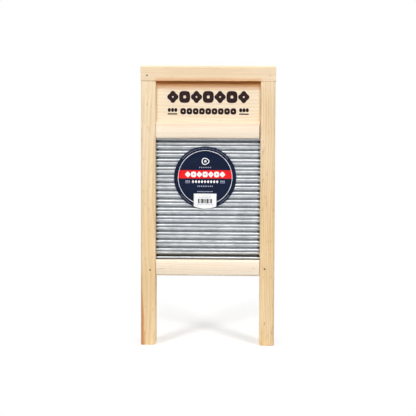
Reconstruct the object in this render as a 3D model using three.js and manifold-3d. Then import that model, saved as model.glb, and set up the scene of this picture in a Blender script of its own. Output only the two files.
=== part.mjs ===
// A pail-size household washboard. Two grooved posts and a grooved top rail make the frame. A header
// panel, a soap ledge, a ribbed zinc-coated sheet, three back slats and a bottom rail slide into the
// grooves, and four wire brads pin the corners.
//
// Millimetres. X runs across the board, the front faces -Y, and Z is up. The origin is on the floor,
// midway between the feet and midway through the frame's depth.

import * as THREE from "three";
import { mergeVertices } from "three/addons/utils/BufferGeometryUtils.js";
import Module from "manifold-3d";

const wasm = await Module();
wasm.setup();

// ---- Driving dimensions -------------------------------------------------------------------------

const BOARD_HEIGHT = 457;
const FRAME_DEPTH = 28.5;
const GAP = 0.3; // clearance left between any two mating faces

const POST_WIDTH = 24.4;
const POST_OUTER_X = 109; // half of the width over the posts
const RAIL_OVERHANG = 0.7; // the top rail's ends stand this far past the posts
const TOP_RAIL_HEIGHT = 25.4;
const ARRIS_RADIUS = 3.5; // rounding along the long edges of the posts and the top rail
const RAIL_LOWER_ARRIS = 1.8;
const ARRIS_STEPS = 5; // straight steps round one quarter of an arris

const GROOVE_WIDTH = 10; // one groove takes the panel, the tongues, and the sheet with its slats
const GROOVE_DEPTH = 12;

const LEDGE_TOP = 365.7;
const LEDGE_BOTTOM = 338.4;
const BOTTOM_RAIL_TOP = 140.7;
const BOTTOM_RAIL_BOTTOM = 114.7;
const CROSSPIECE_SETBACK = 0.15; // a crosspiece's crown stays this far behind the posts' faces
const CROSSPIECE_CROWN = 0.7; // how far the crown stands out past the crosspiece's edges
const CROSSPIECE_TOP_ARRIS = 4.5;
const CROSSPIECE_LOWER_ARRIS = 3;
const LEDGE_RIGHT_SHORT = 0.6; // the ledge's right shoulder is cut this much short
const TONGUE_SHOULDER = 0.5; // a tongue is this much lower than its crosspiece, above and below
const PANEL_GROOVE_DEPTH = 7;
const SHEET_GROOVE_DEPTH = 9;

const RIB_PITCH = 13.33;
const RIB_COUNT = 16;
const SHEET_LOWER_EDGE = 134; // the sheet starts and ends at the bottom of a valley
const RIB_COARSE = 1.6; // half height of the wave that makes one broad rib in each pitch
const RIB_FINE = 1; // half height of the wave that dents each broad rib's crest
const RIB_STEPS = 14; // straight steps along the profile of one rib
const SHEET_THICKNESS = 0.5;

const SLAT_HEIGHT = 26;
const SLAT_NAMES = ["back_slat_lower", "back_slat_middle", "back_slat_upper"];

const LABEL_RADIUS = 50.8;
const LABEL_THICKNESS = 0.35;
const LABEL_SIDES = 64;
const LABEL_X = -4.7;
const LABEL_Z = 274.9;

const BRAD_HEAD_RADIUS = 1.3;
const BRAD_HEAD_THICKNESS = 0.8;
const BRAD_SHANK_RADIUS = 0.8;
const BRAD_LENGTH = 21;
const BRAD_POINT = 2.4;
const BRAD_SUNK = 0.4; // depth of the head below the wood's face
const BRAD_SIDES = 16;
const BRADS = [
  { name: "brad_top_left", x: -99, z: 440.8, joins: ["left_post", "top_rail"] },
  { name: "brad_top_right", x: 100.5, z: 441.2, joins: ["right_post", "top_rail"] },
  { name: "brad_bottom_left", x: -94.1, z: 123.7, joins: ["left_post", "bottom_rail"] },
  { name: "brad_bottom_right", x: 93.2, z: 126.4, joins: ["right_post", "bottom_rail"] },
];

const FOOT_INNER_CHAMFER = { across: 2.6, up: 6.5 };
const FOOT_EDGE_CHAMFER = 1.1;

// ---- Sizes that follow --------------------------------------------------------------------------

const FRONT = -FRAME_DEPTH / 2;
const POST_INNER_X = POST_OUTER_X - POST_WIDTH;
const POST_MIDDLE_X = POST_OUTER_X - POST_WIDTH / 2;
const RAIL_BOTTOM = BOARD_HEIGHT - TOP_RAIL_HEIGHT;
const POST_SHOULDER = RAIL_BOTTOM - GAP; // top of a post, beside its tenon
const GROOVE_FLOOR_X = POST_INNER_X + GROOVE_DEPTH;
const TONGUE_END_X = GROOVE_FLOOR_X - GAP;
const TONGUE_FRONT = -GROOVE_WIDTH / 2 + GAP;
const TONGUE_BACK = -TONGUE_FRONT;
const TENON_TOP = RAIL_BOTTOM + GROOVE_DEPTH - GAP;
const CREST_HEIGHT = RIB_FINE + RIB_COARSE ** 2 / (8 * RIB_FINE); // highest value of ribWave
const VALLEY_DEPTH = RIB_FINE + RIB_COARSE; // its lowest
const SHEET_ZERO_Y = TONGUE_FRONT + CREST_HEIGHT + SHEET_THICKNESS / 2;
const SHEET_BACK = SHEET_ZERO_Y + VALLEY_DEPTH + SHEET_THICKNESS / 2;

// ---- Materials ----------------------------------------------------------------------------------

const material = (color, roughness, metalness) =>
  new THREE.MeshStandardMaterial({ color, roughness, metalness });

const POST_WOOD = material(0xebcfa0, 0.72, 0);
const PALE_WOOD = material(0xf8e6cd, 0.7, 0);
const PANEL_WOOD = material(0xf3dcb8, 0.72, 0);
const ZINC = material(0xb4b9bc, 0.38, 0.9);
const BRAD_STEEL = material(0x6b5f55, 0.5, 0.85);
const LABEL_NAVY = material(0x1f2c49, 0.45, 0);

// ---- Turning geometry into solids and back ------------------------------------------------------

function solidFrom(geometry) {
  const bare = geometry.clone();
  bare.deleteAttribute("normal");
  bare.deleteAttribute("uv");
  const merged = mergeVertices(bare, 1e-4);
  return new wasm.Manifold(
    new wasm.Mesh({
      numProp: 3,
      vertProperties: merged.attributes.position.array,
      triVerts: new Uint32Array(merged.index.array),
    }),
  );
}

function geometryFrom(solid) {
  const mesh = solid.getMesh();
  const geometry = new THREE.BufferGeometry();
  geometry.setAttribute("position", new THREE.BufferAttribute(mesh.vertProperties, mesh.numProp));
  geometry.setIndex(new THREE.BufferAttribute(mesh.triVerts, 1));
  geometry.computeVertexNormals();
  return geometry;
}

// A block between two corners, which may be given in either order along each axis.
function box(corner, opposite) {
  const size = corner.map((value, i) => Math.abs(opposite[i] - value));
  const middle = corner.map((value, i) => (value + opposite[i]) / 2);
  return solidFrom(new THREE.BoxGeometry(...size)).translate(middle);
}

// A shape's own X and Y become the board's Y and Z, X and Z, or X and Y when it is pulled along the
// board's X, Y or Z.
const ACROSS = new THREE.Vector3(1, 0, 0);
const BACKWARDS = new THREE.Vector3(0, 1, 0);
const UP = new THREE.Vector3(0, 0, 1);
const FORWARDS = new THREE.Vector3(0, -1, 0);
const PULL = {
  x: new THREE.Matrix4().makeBasis(BACKWARDS, UP, ACROSS),
  y: new THREE.Matrix4().makeBasis(ACROSS, UP, FORWARDS),
  z: new THREE.Matrix4(),
};

function pulled(shape, axis, from, to) {
  const geometry = new THREE.ExtrudeGeometry(shape, {
    depth: to - from,
    bevelEnabled: false,
    curveSegments: ARRIS_STEPS,
  });
  const start = axis === "y" ? -to : from;
  return solidFrom(geometry.translate(0, 0, start).applyMatrix4(PULL[axis]));
}

function outline(points) {
  return new THREE.Shape(points.map(([x, y]) => new THREE.Vector2(x, y)));
}

// ---- Sections -----------------------------------------------------------------------------------

// A bar standing on y = 0, with a lower and an upper corner radius. crown bows its two sides out,
// and is taken out of the width first, so that the section never grows past the width.
function barSection(width, height, lowerRadius, upperRadius, crown = 0) {
  const half = width / 2 - crown;
  const bow = half + 2 * crown; // a quadratic curve passes halfway to its control point
  const middle = (height + lowerRadius - upperRadius) / 2;
  const quarter = Math.PI / 2;
  const shape = new THREE.Shape();
  shape.moveTo(-half + lowerRadius, 0);
  shape.lineTo(half - lowerRadius, 0);
  shape.absarc(half - lowerRadius, lowerRadius, lowerRadius, -quarter, 0);
  shape.quadraticCurveTo(bow, middle, half, height - upperRadius);
  shape.absarc(half - upperRadius, height - upperRadius, upperRadius, 0, quarter);
  shape.lineTo(-half + upperRadius, height);
  shape.absarc(-half + upperRadius, height - upperRadius, upperRadius, quarter, 2 * quarter);
  shape.quadraticCurveTo(-bow, middle, -half, lowerRadius);
  shape.absarc(-half + lowerRadius, lowerRadius, lowerRadius, 2 * quarter, 3 * quarter);
  return shape;
}

// How far the sheet stands in front of its zero plane at a point round one rib, and the slope there.
function ribWave(turn) {
  const height = -RIB_COARSE * Math.cos(turn) - RIB_FINE * Math.cos(2 * turn);
  const rise = RIB_COARSE * Math.sin(turn) + 2 * RIB_FINE * Math.sin(2 * turn);
  return { height, slope: (2 * Math.PI * rise) / RIB_PITCH };
}

// The ribbed sheet's section in Y and Z: up the front of the ribs and down again behind them.
function sheetSection() {
  const face = (offset) => {
    const points = [];
    for (let step = 0; step <= RIB_COUNT * RIB_STEPS; step++) {
      const ribs = step / RIB_STEPS;
      const { height, slope } = ribWave(2 * Math.PI * ribs);
      const out = offset / Math.hypot(1, slope);
      points.push([SHEET_ZERO_Y - height - out, ribs * RIB_PITCH - out * slope]);
    }
    return points;
  };
  return outline([...face(SHEET_THICKNESS / 2), ...face(-SHEET_THICKNESS / 2).reverse()]);
}

// ---- Brads --------------------------------------------------------------------------------------

// The head lies in the plane y = 0 and the point is towards +Y.
function bradGeometry() {
  const profile = [
    [0, 0],
    [BRAD_HEAD_RADIUS, 0],
    [BRAD_HEAD_RADIUS, BRAD_HEAD_THICKNESS],
    [BRAD_SHANK_RADIUS, BRAD_HEAD_THICKNESS],
    [BRAD_SHANK_RADIUS, BRAD_LENGTH - BRAD_POINT],
    [0, BRAD_LENGTH],
  ];
  return new THREE.LatheGeometry(outline(profile).getPoints(), BRAD_SIDES);
}

// The same form grown by the clearance and carried out past the wood's face, for cutting its hole.
function bradHole() {
  const reach = -BRAD_SUNK - 1;
  const underHead = BRAD_HEAD_THICKNESS + GAP;
  const profile = [
    [0, reach],
    [BRAD_HEAD_RADIUS + GAP, reach],
    [BRAD_HEAD_RADIUS + GAP, underHead],
    [BRAD_SHANK_RADIUS + GAP, underHead],
    [BRAD_SHANK_RADIUS + GAP, BRAD_LENGTH - BRAD_POINT],
    [0, BRAD_LENGTH + 2 * GAP],
  ];
  return solidFrom(new THREE.LatheGeometry(outline(profile).getPoints(), BRAD_SIDES));
}

// ---- Pieces, each made where it stands in the board ---------------------------------------------

// side is -1 for the left post and 1 for the right one.
function post(side) {
  const inner = side * POST_INNER_X;
  const outer = side * POST_OUTER_X;
  const floor = side * GROOVE_FLOOR_X;
  const section = barSection(POST_WIDTH, FRAME_DEPTH, ARRIS_RADIUS, ARRIS_RADIUS);
  const bar = pulled(section, "z", 0, POST_SHOULDER).translate([side * POST_MIDDLE_X, FRONT, 0]);

  const frontView = outline([
    [outer, FOOT_EDGE_CHAMFER],
    [outer - side * FOOT_EDGE_CHAMFER, 0],
    [inner + side * FOOT_INNER_CHAMFER.across, 0],
    [inner, FOOT_INNER_CHAMFER.up],
    [inner, POST_SHOULDER],
    [outer, POST_SHOULDER],
  ]);
  const sideView = outline([
    [FRONT, FOOT_EDGE_CHAMFER],
    [FRONT + FOOT_EDGE_CHAMFER, 0],
    [-FRONT - FOOT_EDGE_CHAMFER, 0],
    [-FRONT, FOOT_EDGE_CHAMFER],
    [-FRONT, POST_SHOULDER],
    [FRONT, POST_SHOULDER],
  ]);
  const groove = box(
    [inner - side, -GROOVE_WIDTH / 2, -1],
    [floor, GROOVE_WIDTH / 2, BOARD_HEIGHT],
  );
  const tenon = box([floor, TONGUE_FRONT, POST_SHOULDER - 1], [outer, TONGUE_BACK, TENON_TOP]);
  return bar
    .intersect(pulled(frontView, "y", FRONT, -FRONT))
    .intersect(pulled(sideView, "x", -POST_OUTER_X, POST_OUTER_X))
    .subtract(groove)
    .add(tenon);
}

function topRail() {
  const end = POST_OUTER_X + RAIL_OVERHANG;
  const section = barSection(FRAME_DEPTH, TOP_RAIL_HEIGHT, RAIL_LOWER_ARRIS, ARRIS_RADIUS);
  const groove = box(
    [-end - 1, -GROOVE_WIDTH / 2, RAIL_BOTTOM - 1],
    [end + 1, GROOVE_WIDTH / 2, RAIL_BOTTOM + GROOVE_DEPTH],
  );
  return pulled(section, "x", -end, end).translate([0, 0, RAIL_BOTTOM]).subtract(groove);
}

// A flat piece held by the post grooves, from one groove floor to the other.
function boardBetweenPosts(front, bottom, top) {
  return box([-TONGUE_END_X, front, bottom], [TONGUE_END_X, TONGUE_BACK, top]);
}

// A crowned bar between the posts, with a tongue at each end.
function crosspiece(bottom, top, rightShort = 0) {
  const left = -POST_INNER_X + GAP;
  const right = POST_INNER_X - GAP - rightShort;
  const section = barSection(
    FRAME_DEPTH - 2 * CROSSPIECE_SETBACK,
    top - bottom,
    CROSSPIECE_LOWER_ARRIS,
    CROSSPIECE_TOP_ARRIS,
    CROSSPIECE_CROWN,
  );
  const bar = pulled(section, "x", left, right).translate([0, 0, bottom]);
  return bar.add(boardBetweenPosts(TONGUE_FRONT, bottom + TONGUE_SHOULDER, top - TONGUE_SHOULDER));
}

// The groove that takes the upper or the lower edge of the sheet.
function sheetGroove(low, high) {
  return box([-GROOVE_FLOOR_X, TONGUE_FRONT - GAP, low], [GROOVE_FLOOR_X, SHEET_BACK + GAP, high]);
}

function soapLedge() {
  const panelGroove = box(
    [-GROOVE_FLOOR_X, -GROOVE_WIDTH / 2, LEDGE_TOP - PANEL_GROOVE_DEPTH],
    [GROOVE_FLOOR_X, GROOVE_WIDTH / 2, LEDGE_TOP + 1],
  );
  return crosspiece(LEDGE_BOTTOM, LEDGE_TOP, LEDGE_RIGHT_SHORT)
    .subtract(panelGroove)
    .subtract(sheetGroove(LEDGE_BOTTOM - 1, LEDGE_BOTTOM + SHEET_GROOVE_DEPTH + GAP));
}

function bottomRail() {
  return crosspiece(BOTTOM_RAIL_BOTTOM, BOTTOM_RAIL_TOP).subtract(
    sheetGroove(BOTTOM_RAIL_TOP - SHEET_GROOVE_DEPTH - GAP, BOTTOM_RAIL_TOP + 1),
  );
}

function headerPanel() {
  return boardBetweenPosts(TONGUE_FRONT, LEDGE_TOP - PANEL_GROOVE_DEPTH + GAP, TENON_TOP);
}

function rubbingSheet() {
  const sheet = pulled(sheetSection(), "x", -TONGUE_END_X, TONGUE_END_X);
  return sheet.translate([0, 0, SHEET_LOWER_EDGE]);
}

function backSlat(middleZ) {
  return boardBetweenPosts(SHEET_BACK + GAP, middleZ - SLAT_HEIGHT / 2, middleZ + SLAT_HEIGHT / 2);
}

// ---- The assembly -------------------------------------------------------------------------------

// Bores the holes for a piece's brads, and hangs its geometry on a mesh placed at origin.
function placed(name, solid, finish, origin) {
  const holes = BRADS.filter((brad) => brad.joins.includes(name)).map((brad) =>
    bradHole().translate([brad.x, FRONT + BRAD_SUNK, brad.z]),
  );
  const bored = holes.reduce((rest, hole) => rest.subtract(hole), solid);
  const mesh = new THREE.Mesh(geometryFrom(bored.translate(origin.map((v) => -v))), finish);
  mesh.name = name;
  mesh.position.set(...origin);
  return mesh;
}

function brad({ name, x, z }) {
  const mesh = new THREE.Mesh(bradGeometry(), BRAD_STEEL);
  mesh.name = name;
  mesh.position.set(x, FRONT + BRAD_SUNK, z);
  return mesh;
}

function roundLabel() {
  const disc = new THREE.CylinderGeometry(LABEL_RADIUS, LABEL_RADIUS, LABEL_THICKNESS, LABEL_SIDES);
  const mesh = new THREE.Mesh(disc, LABEL_NAVY);
  mesh.name = "round_label";
  mesh.position.set(LABEL_X, TONGUE_FRONT - GAP - LABEL_THICKNESS / 2, LABEL_Z);
  return mesh;
}

const frame = new THREE.Group();
frame.add(
  placed("left_post", post(-1), POST_WOOD, [-POST_MIDDLE_X, 0, 0]),
  placed("right_post", post(1), POST_WOOD, [POST_MIDDLE_X, 0, 0]),
  placed("top_rail", topRail(), POST_WOOD, [0, 0, RAIL_BOTTOM]),
  placed("soap_ledge", soapLedge(), PALE_WOOD, [0, 0, LEDGE_BOTTOM]),
  placed("bottom_rail", bottomRail(), PALE_WOOD, [0, 0, BOTTOM_RAIL_BOTTOM]),
);

const infill = new THREE.Group();
infill.add(
  placed("header_panel", headerPanel(), PANEL_WOOD, [0, 0, LEDGE_TOP]),
  placed("rubbing_sheet", rubbingSheet(), ZINC, [0, 0, SHEET_LOWER_EDGE]),
);
SLAT_NAMES.forEach((name, i) => {
  const share = (i + 0.5) / SLAT_NAMES.length;
  const z = BOTTOM_RAIL_TOP + share * (LEDGE_BOTTOM - BOTTOM_RAIL_TOP);
  infill.add(placed(name, backSlat(z), PANEL_WOOD, [0, 0, z]));
});

const fasteners = new THREE.Group();
fasteners.add(...BRADS.map(brad));

const washboard = new THREE.Group();
washboard.add(frame, infill, fasteners, roundLabel());
export default washboard;
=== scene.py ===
import math
from functools import partialmethod

import bmesh
import bpy
from bpy.props import FloatProperty, FloatVectorProperty, IntProperty, PointerProperty
from mathutils import Matrix, Vector, noise


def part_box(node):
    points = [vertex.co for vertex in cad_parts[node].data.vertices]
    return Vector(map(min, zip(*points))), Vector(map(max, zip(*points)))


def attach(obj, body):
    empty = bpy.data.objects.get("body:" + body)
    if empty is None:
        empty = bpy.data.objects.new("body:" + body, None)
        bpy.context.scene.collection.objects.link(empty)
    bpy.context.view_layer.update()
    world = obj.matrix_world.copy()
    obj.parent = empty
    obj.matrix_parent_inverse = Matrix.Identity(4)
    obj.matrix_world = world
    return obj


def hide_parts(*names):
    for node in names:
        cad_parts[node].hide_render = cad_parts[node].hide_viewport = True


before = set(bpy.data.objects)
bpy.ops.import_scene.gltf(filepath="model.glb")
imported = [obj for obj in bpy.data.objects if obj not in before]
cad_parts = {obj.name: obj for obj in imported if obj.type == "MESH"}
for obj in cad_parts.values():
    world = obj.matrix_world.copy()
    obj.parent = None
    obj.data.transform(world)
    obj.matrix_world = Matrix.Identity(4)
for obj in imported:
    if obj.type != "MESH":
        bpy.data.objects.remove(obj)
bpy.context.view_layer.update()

bl_info = {
    "name": "Pail-Size Washboard",
    "version": (1, 0, 0),
    "blender": (4, 5, 0),
    "location": "View3D > Sidebar > Washboard",
    "description": "Makes a wooden washboard with a ribbed zinc sheet around its packed frame",
    "category": "Add Mesh",
}

# ---- Places that come from the frame, in metres --------------------------------------------------

MM = 0.001
CLEARANCE = 0.3 * MM  # left between any two mating faces of the frame
BODY = "root"
LEFT_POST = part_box("left_post")
RIGHT_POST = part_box("right_post")
TOP_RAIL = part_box("top_rail")
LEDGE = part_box("soap_ledge")
BOTTOM_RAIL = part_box("bottom_rail")
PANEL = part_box("header_panel")
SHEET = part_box("rubbing_sheet")
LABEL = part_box("round_label")
SLAT_NODES = ("back_slat_lower", "back_slat_middle", "back_slat_upper")
SLATS = [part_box(node) for node in SLAT_NODES]
BRAD_NODES = ("brad_top_left", "brad_top_right", "brad_bottom_left", "brad_bottom_right")
BRADS = [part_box(node) for node in BRAD_NODES]

TONGUE_END = PANEL[1].x
TONGUE_FRONT = PANEL[0].y
TONGUE_BACK = PANEL[1].y
GROOVE_HALF = TONGUE_BACK + CLEARANCE
GROOVE_FLOOR = TONGUE_END + CLEARANCE
POST_INNER = RIGHT_POST[0].x
POST_OUTER = RIGHT_POST[1].x
POST_SHOULDER = TOP_RAIL[0].z - 0.05 * MM  # a hair under the rail, so that no faces coincide
LABEL_CENTRE = (LABEL[0] + LABEL[1]) / 2
LABEL_RADIUS = (LABEL[1].x - LABEL[0].x) / 2
BRAD_PLACES = [Vector(((low.x + high.x) / 2, low.y, (low.z + high.z) / 2)) for low, high in BRADS]


def display_colour(red, green, blue):
    """A colour given as it looks on a display, 0 to 255, as the linear one that Blender works in."""
    shares = (channel / 255 for channel in (red, green, blue))
    return tuple(s / 12.92 if s <= 0.04045 else ((s + 0.055) / 1.055) ** 2.4 for s in shares)


def colour_property(name, description, display):
    return FloatVectorProperty(
        name=name,
        description=description,
        default=display_colour(*display),
        subtype="COLOR",
        min=0,
        max=1,
    )


def length_property(name, description, millimetres):
    return FloatProperty(
        name=name,
        description=description,
        default=millimetres * MM,
        min=0,
        unit="LENGTH",
        precision=5,
    )


def share_property(name, description, default):
    return FloatProperty(
        name=name,
        description=description,
        default=default,
        min=0,
        max=1,
        subtype="FACTOR",
    )


# ---- Sizes and colours that a user would change --------------------------------------------------


class WashboardWood(bpy.types.PropertyGroup):
    arris: length_property("Arris", "Rounding of the long edges of the posts and top rail", 3.5)
    rail_lower_arris: length_property("Rail Lower Arris", "Rounding under the top rail", 1.2)
    cross_upper_arris: length_property("Upper Arris", "Rounding on top of a crosspiece", 4.5)
    cross_lower_arris: length_property("Lower Arris", "Rounding under a crosspiece", 3)
    crown: length_property("Crown", "How far a crosspiece's face bows out", 0.7)
    setback: length_property("Set-back", "How far a crosspiece lies behind the posts' faces", 0.15)
    ledge_gap: length_property("Ledge Gap", "How much the ledge is cut short on the right", 0.9)
    easing: length_property("Easing", "Sanding of every sawn edge", 0.35)
    wobble: length_property("Wobble", "How far a planed face strays from true", 0.12)
    foot_across: length_property("Foot Rounding", "Width of the rounding inside each foot", 2.6)
    foot_up: length_property("Foot Rounding Height", "Height of the rounding inside a foot", 6.5)
    foot_edge: length_property("Foot Edge", "Rounding round the sawn end of each foot", 1.1)
    post_pale: colour_property("Post, Pale", "Spring wood of the posts", (243, 216, 172))
    post_dark: colour_property("Post, Dark", "Summer wood of the posts", (226, 189, 136))
    rail_pale: colour_property("Rail, Pale", "Spring wood of the top rail", (239, 218, 187))
    rail_dark: colour_property("Rail, Dark", "Summer wood of the top rail", (224, 194, 156))
    cross_pale: colour_property("Crosspiece, Pale", "Spring wood of crosspieces", (251, 239, 220))
    cross_dark: colour_property("Crosspiece, Dark", "Summer wood of crosspieces", (243, 220, 192))
    panel_pale: colour_property("Panel, Pale", "Spring wood of panel and slats", (242, 228, 204))
    panel_dark: colour_property("Panel, Dark", "Summer wood of panel and slats", (231, 207, 174))
    # The streak is partly real colour and partly painted shade.
    heartwood_and_shade: colour_property("Heartwood", "Streak down the left leg's arris", (208, 136, 76))
    # Painted shade in and under the rail's corner, on the panel and on the rail's lower edge.
    painted_crevice_shade: colour_property("Crevice", "Tint of the wood in and under the rail's corner", (246, 182, 108))


class WashboardSheet(bpy.types.PropertyGroup):
    ribs: IntProperty(name="Ribs", description="Double ribs from edge to edge", default=16, min=1)
    thickness: length_property("Thickness", "Gauge of the sheet", 0.5)
    dent: share_property("Crest Dent", "Fine wave's height against the coarse wave's", 0.8)
    ripple: length_property("Ripple", "How far the ribs wander up and down", 0.1)
    zinc: colour_property("Zinc", "Bright grains of the zinc coating", (184, 187, 190))
    # Painted shade in the valleys, partly grime, and in the crest dents.
    shade_and_grime_tint: colour_property("Tarnish", "Tint of the grime in the valleys", (58, 56, 52))
    # Painted reflection of the bottom rail's wood in the lowest valley.
    rail_reflection_tint: colour_property("Rust", "Tint of the grime in the lowest valley", (86, 70, 44))
    dull_zinc: colour_property("Dull Zinc", "Dull grains of the zinc coating", (164, 168, 172))


class WashboardPrint(bpy.types.PropertyGroup):
    film: length_property("Film", "Thickness of the printed ink", 0.03)
    ink: colour_property("Ink", "Ink of the ornament on the header panel", (36, 16, 18))
    navy: colour_property("Label Blue", "Ground colour of the label", (6, 22, 50))
    red: colour_property("Label Red", "Band across the label", (240, 28, 32))
    grey: colour_property("Label Grey", "Fine marks on the label", (176, 180, 202))
    white: colour_property("Label White", "Bold marks and the blank patch", (252, 252, 252))
    bars: colour_property("Bars", "Stripes on the blank patch", (58, 58, 64))


class WashboardBrads(bpy.types.PropertyGroup):
    head: length_property("Head", "Width across a brad's head", 2.6)
    head_height: length_property("Head Height", "Thickness of a brad's head", 0.8)
    shank: length_property("Shank", "Width across a brad's shank", 1.6)
    point: length_property("Point", "Length of a brad's point", 2.4)
    steel: colour_property("Steel", "Dulled steel of the brads", (104, 84, 68))
    filler: colour_property("Filler", "Putty over the brad at the top right", (214, 182, 142))


class WashboardStage(bpy.types.PropertyGroup):
    distance: FloatProperty(
        name="Camera Distance",
        description="From the camera to the board",
        default=2.6,
        unit="LENGTH",
    )
    aim: length_property("Aim", "Height that the camera looks at", 224.8)
    lens: FloatProperty(name="Lens", description="Focal length", default=137.5, unit="CAMERA")
    azimuth: FloatProperty(
        name="Azimuth",
        description="How far the camera stands to the right of the board's front",
        default=math.radians(2),
        subtype="ANGLE",
    )
    elevation: FloatProperty(
        name="Elevation",
        description="How far the camera looks down",
        default=math.radians(4.6),
        subtype="ANGLE",
    )
    roll: FloatProperty(
        name="Roll",
        description="How far the camera leans",
        default=math.radians(0.2),
        subtype="ANGLE",
    )
    floor_radius: FloatProperty(
        name="Floor Radius",
        description="Reach of the pale floor",
        default=3,
        unit="LENGTH",
    )
    floor: colour_property("Floor", "Colour of the floor", (245, 245, 245))


class WashboardSettings(bpy.types.PropertyGroup):
    wood: PointerProperty(type=WashboardWood, name="Wood", description="Frame, panel and slats")
    sheet: PointerProperty(type=WashboardSheet, name="Sheet", description="Ribbed zinc sheet")
    printing: PointerProperty(type=WashboardPrint, name="Print", description="Ornament and label")
    brads: PointerProperty(type=WashboardBrads, name="Brads", description="Wire brads")
    stage: PointerProperty(type=WashboardStage, name="Stage", description="Camera and floor")


# ---- Node trees ----------------------------------------------------------------------------------

SOCKET_TYPES = {
    "number": "NodeSocketFloat",
    "count": "NodeSocketInt",
    "vector": "NodeSocketVector",
    "colour": "NodeSocketColor",
    "geometry": "NodeSocketGeometry",
    "material": "NodeSocketMaterial",
    "object": "NodeSocketObject",
}
MIX_FACTOR, MIX_A, MIX_B, MIX_RESULT = 0, 6, 7, 2  # a Mix node's sockets for colours


class Tree:
    """Adds nodes to a node tree. A value may be a number, a colour or another node's output."""

    def __init__(self, target):
        self.target = target

    def add(self, kind, values=None, **settings):
        node = self.target.nodes.new(kind)
        for key, value in settings.items():
            setattr(node, key, value)
        for key, value in (values or {}).items():
            self.put(node.inputs[key], value)
        return node

    def put(self, socket, value):
        if isinstance(value, bpy.types.NodeSocket):
            self.target.links.new(value, socket)
        elif socket.type == "RGBA" and len(value) == 3:
            socket.default_value = (*value, 1)
        else:
            socket.default_value = value

    def math(self, operation, *values):
        return self.add("ShaderNodeMath", dict(enumerate(values)), operation=operation).outputs[0]

    plus = partialmethod(math, "ADD")
    minus = partialmethod(math, "SUBTRACT")
    times = partialmethod(math, "MULTIPLY")
    over = partialmethod(math, "DIVIDE")
    times_plus = partialmethod(math, "MULTIPLY_ADD")

    def vector(self, operation, *values, scale=None):
        node = self.add("ShaderNodeVectorMath", dict(enumerate(values)), operation=operation)
        if scale is not None:
            self.put(node.inputs["Scale"], scale)
        return node.outputs["Value" if operation == "LENGTH" else "Vector"]

    def split(self, vector):
        return self.add("ShaderNodeSeparateXYZ", {0: vector}).outputs

    def joined(self, x, y, z):
        return self.add("ShaderNodeCombineXYZ", {0: x, 1: y, 2: z}).outputs[0]

    def ramp(self, value, low, high, to_low=0.0, to_high=1.0):
        """Goes smoothly from to_low, where value is low, to to_high, where it is high."""
        ends = {"From Min": low, "From Max": high, "To Min": to_low, "To Max": to_high}
        node = self.add("ShaderNodeMapRange", {"Value": value, **ends})
        node.interpolation_type = "SMOOTHSTEP"
        return node.outputs["Result"]

    def noise(self, vector, scale, detail=2.0, roughness=0.5):
        values = {"Vector": vector, "Scale": scale, "Detail": detail, "Roughness": roughness}
        return self.add("ShaderNodeTexNoise", values).outputs[0]

    def stretched(self, vector, x, y, z):
        return self.vector("MULTIPLY", vector, self.joined(x, y, z))

    def mix(self, share, first, second, blend="MIX"):
        values = {MIX_FACTOR: share, MIX_A: first, MIX_B: second}
        node = self.add("ShaderNodeMix", data_type="RGBA", blend_type=blend)
        for key, value in values.items():
            self.put(node.inputs[key], value)
        return node.outputs[MIX_RESULT]


def group_tree(name, kind, inputs, outputs):
    """A new node group with these sockets, and its group input and output."""
    tree = Tree(bpy.data.node_groups.new(name, kind))
    for side, sockets in (("INPUT", inputs), ("OUTPUT", outputs)):
        for label, socket in sockets.items():
            socket_type = SOCKET_TYPES[socket]
            tree.target.interface.new_socket(label, in_out=side, socket_type=socket_type)
    return tree, tree.add("NodeGroupInput").outputs, tree.add("NodeGroupOutput").inputs


def shared(name, build):
    """The node group of this name, built by build the first time."""
    if name not in bpy.data.node_groups:
        build(name)
    return bpy.data.node_groups[name]


# ---- Shader groups -------------------------------------------------------------------------------


def build_wood_grain(name):
    """Yearly rings round the Z axis of Place, with fibres, resin flecks and a slow drift."""
    inputs = {
        "Place": "vector",
        "Pale": "colour",
        "Dark": "colour",
        "Ring Spacing": "number",
        "Contrast": "number",
        "Flecks": "number",
    }
    outputs = {"Colour": "colour", "Roughness": "number", "Height": "number"}
    tree, given, out = group_tree(name, "ShaderNodeTree", inputs, outputs)
    place = given["Place"]
    wander = tree.noise(tree.stretched(place, 1, 1, 0.3), scale=16.0, detail=2.0)
    x, y, _ = tree.split(place)
    from_pith = tree.vector("LENGTH", tree.joined(x, y, 0.0))
    bent = tree.times_plus(wander, 14 * MM, from_pith)
    # A year's wood darkens slowly, and ends at once where the next year's begins.
    year = tree.math("FRACT", tree.over(bent, given["Ring Spacing"]))
    ripening = tree.ramp(year, 0.25, 0.9)
    ending = tree.ramp(year, 0.93, 1.0)
    late = tree.minus(ripening, ending)
    fibre = tree.noise(tree.stretched(place, 1, 1, 0.03), scale=1100.0, detail=3.0, roughness=0.6)
    band = tree.noise(tree.stretched(place, 1, 1, 0.05), scale=220.0, detail=2.0)
    drift = tree.noise(place, scale=9.0, detail=1.0)
    fleck_noise = tree.noise(tree.stretched(place, 1, 1, 0.12), scale=620.0, detail=1.0)
    fleck = tree.ramp(fleck_noise, 0.68, 0.76)
    tone = tree.times(late, 0.5)
    for pattern, weight in ((fibre, 0.7), (band, 1.1), (drift, 1.0)):
        tone = tree.times_plus(tree.minus(pattern, 0.5), weight, tone)
    tone = tree.times(tone, given["Contrast"])
    tone = tree.plus(tone, 0.3)
    tone = tree.add("ShaderNodeClamp", {"Value": tone}).outputs[0]
    colour = tree.mix(tone, given["Pale"], given["Dark"])
    fleck = tree.times(fleck, given["Flecks"])
    colour = tree.mix(fleck, colour, tree.mix(1.0, colour, (0.5, 0.36, 0.25), "MULTIPLY"))
    tree.put(out["Colour"], colour)
    tree.put(out["Roughness"], tree.ramp(fibre, 0.3, 0.7, 0.58, 0.74))
    height = tree.times_plus(late, 0.35, tree.times(fibre, 0.65))
    tree.put(out["Height"], tree.minus(height, fleck))


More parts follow.
